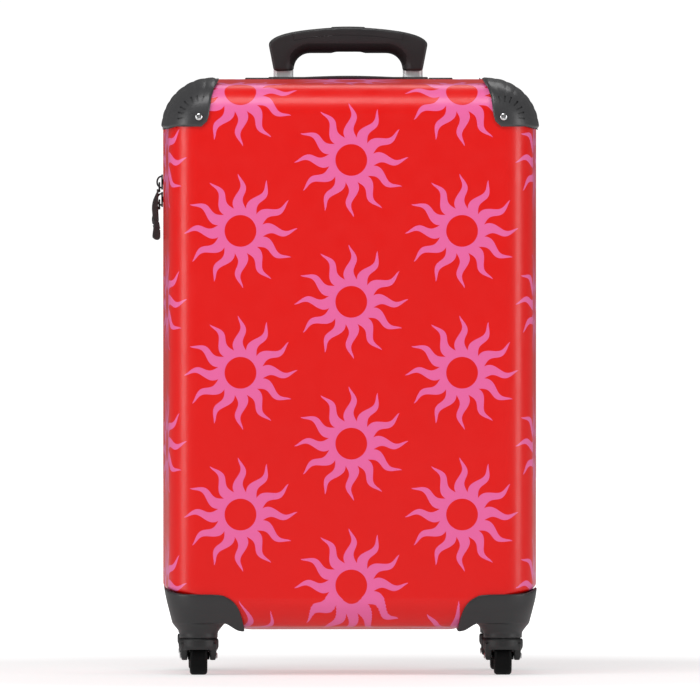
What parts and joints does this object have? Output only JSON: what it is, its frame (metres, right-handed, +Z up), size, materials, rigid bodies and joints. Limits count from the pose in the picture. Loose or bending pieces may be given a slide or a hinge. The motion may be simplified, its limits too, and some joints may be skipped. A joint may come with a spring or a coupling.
{
  "type": "hard shell suitcase",
  "caption": "Cabin-size zipped hard shell suitcase with spinner casters, corner guards, telescopic pull handle, top carry handle and fabric hinge.",
  "frame": {"origin": "on the floor under the middle of the case", "axes": "+Z up; -Y is the printed front, which is the half that opens; +X is to the right seen from the front"},
  "size_m": [0.3548, 0.2446, 0.5965],
  "materials": {
    "printed_shell": "red polycarbonate, printed with pink sun shapes, fine satin grain",
    "lining": "dark grey polyester lining",
    "zip_tape": "black woven tape",
    "webbing": "black woven webbing",
    "zip_coil": "black nylon zip coil",
    "black_plastic": "black ABS with a satin moulded grain",
    "dark_plastic": "black nylon, matte",
    "soft_plastic": "black soft-touch plastic",
    "aluminium": "satin anodised",
    "steel": "bright zinc plate",
    "chrome": "polished",
    "zip_metal": "gunmetal coat",
    "tyre": "black polyurethane"
  },
  "bodies": {
    "rear_case": {"rear_shell": "printed_shell", "rear_lining": "lining", "rear_zip_tape": "zip_tape", "rear_zip_coil": "zip_coil", "rear_hinge_tape": "zip_tape", "rear_guard_left": "black_plastic", "rear_guard_screw_left": "chrome", "rear_wheel_housing_left": "black_plastic", "rear_guard_right": "black_plastic", "rear_guard_screw_right": "chrome", "rear_wheel_housing_right": "black_plastic", "outer_tube_left": "aluminium", "outer_tube_right": "aluminium", "trolley_bezel": "black_plastic", "trolley_foot": "dark_plastic", "carry_handle": "soft_plastic", "carry_handle_cap_left": "black_plastic", "carry_handle_cap_right": "black_plastic", "packing_strap_left": "webbing", "packing_strap_right": "webbing", "strap_buckle": "dark_plastic"},
    "lid": {"front_shell": "printed_shell", "front_lining": "lining", "front_zip_tape": "zip_tape", "front_zip_coil": "zip_coil", "front_hinge_tape": "zip_tape", "front_guard_left": "black_plastic", "front_guard_screw_left": "chrome", "front_wheel_housing_left": "black_plastic", "front_guard_right": "black_plastic", "front_guard_screw_right": "chrome", "front_wheel_housing_right": "black_plastic"},
    "front_caster_left": {"front_fork_left": "dark_plastic", "front_kingpin_left": "steel", "front_axle_left": "steel"},
    "front_roller_left": {"front_wheel_left": "tyre"},
    "front_caster_right": {"front_fork_right": "dark_plastic", "front_kingpin_right": "steel", "front_axle_right": "steel"},
    "front_roller_right": {"front_wheel_right": "tyre"},
    "rear_caster_left": {"rear_fork_left": "dark_plastic", "rear_kingpin_left": "steel", "rear_axle_left": "steel"},
    "rear_roller_left": {"rear_wheel_left": "tyre"},
    "rear_caster_right": {"rear_fork_right": "dark_plastic", "rear_kingpin_right": "steel", "rear_axle_right": "steel"},
    "rear_roller_right": {"rear_wheel_right": "tyre"},
    "handle_middle": {"middle_tube_left": "aluminium", "middle_tube_right": "aluminium"},
    "handle_upper": {"upper_tube_left": "aluminium", "upper_tube_right": "aluminium", "grip_body": "black_plastic", "grip_cover": "soft_plastic"},
    "handle_release": {"grip_button": "dark_plastic", "release_yoke": "steel"},
    "slider_upper": {"zip_slider_upper": "zip_metal"},
    "pull_upper": {"zip_pull_upper": "soft_plastic"},
    "slider_lower": {"zip_slider_lower": "zip_metal"},
    "pull_lower": {"zip_pull_lower": "soft_plastic"}
  },
  "joints": [
    {"name": "lid_hinge", "type": "hinge", "parent": "rear_case", "child": "lid", "pos_m": [0.1745, 0, 0.3], "axis": [0, 0, 1], "range_deg": [0, 180]},
    {"name": "front_swivel_left", "type": "hinge", "parent": "lid", "child": "front_caster_left", "pos_m": [-0.14, -0.085, 0.037], "axis": [0, 0, 1], "continuous": true},
    {"name": "front_wheel_spin_left", "type": "hinge", "parent": "front_caster_left", "child": "front_roller_left", "pos_m": [-0.14, -0.0785, 0.0175], "axis": [1, 0, 0], "continuous": true},
    {"name": "front_swivel_right", "type": "hinge", "parent": "lid", "child": "front_caster_right", "pos_m": [0.14, -0.085, 0.037], "axis": [0, 0, 1], "continuous": true},
    {"name": "front_wheel_spin_right", "type": "hinge", "parent": "front_caster_right", "child": "front_roller_right", "pos_m": [0.14, -0.0785, 0.0175], "axis": [1, 0, 0], "continuous": true},
    {"name": "rear_swivel_left", "type": "hinge", "parent": "rear_case", "child": "rear_caster_left", "pos_m": [-0.14, 0.085, 0.037], "axis": [0, 0, 1], "continuous": true},
    {"name": "rear_wheel_spin_left", "type": "hinge", "parent": "rear_caster_left", "child": "rear_roller_left", "pos_m": [-0.14, 0.0915, 0.0175], "axis": [1, 0, 0], "continuous": true},
    {"name": "rear_swivel_right", "type": "hinge", "parent": "rear_case", "child": "rear_caster_right", "pos_m": [0.14, 0.085, 0.037], "axis": [0, 0, 1], "continuous": true},
    {"name": "rear_wheel_spin_right", "type": "hinge", "parent": "rear_caster_right", "child": "rear_roller_right", "pos_m": [0.14, 0.0915, 0.0175], "axis": [1, 0, 0], "continuous": true},
    {"name": "handle_lower_stage", "type": "slide", "parent": "rear_case", "child": "handle_middle", "axis": [0, 0, 1], "range_m": [0, 0.21]},
    {"name": "handle_upper_stage", "type": "slide", "parent": "handle_middle", "child": "handle_upper", "axis": [0, 0, 1], "range_m": [0, 0.21]},
    {"name": "release_button", "type": "slide", "parent": "handle_upper", "child": "handle_release", "axis": [0, 0, -1], "range_m": [0, 0.004], "stiffness_N_per_m": 600, "springref_m": -0.003},
    {"name": "zip_upper", "type": "slide", "parent": "rear_case", "child": "slider_upper", "axis": [0, 0, 1], "range_m": [0, 0.04]},
    {"name": "zip_lower", "type": "slide", "parent": "rear_case", "child": "slider_lower", "axis": [0, 0, 1], "range_m": [-0.3, 0]},
    {"name": "pull_hinge_upper", "type": "hinge", "parent": "slider_upper", "child": "pull_upper", "pos_m": [-0.1756, 0, 0.452], "axis": [0, 1, 0], "range_deg": [0, 140]},
    {"name": "pull_hinge_lower", "type": "hinge", "parent": "slider_lower", "child": "pull_lower", "pos_m": [-0.1756, 0, 0.436], "axis": [0, 1, 0], "range_deg": [0, 140]}
  ]
}
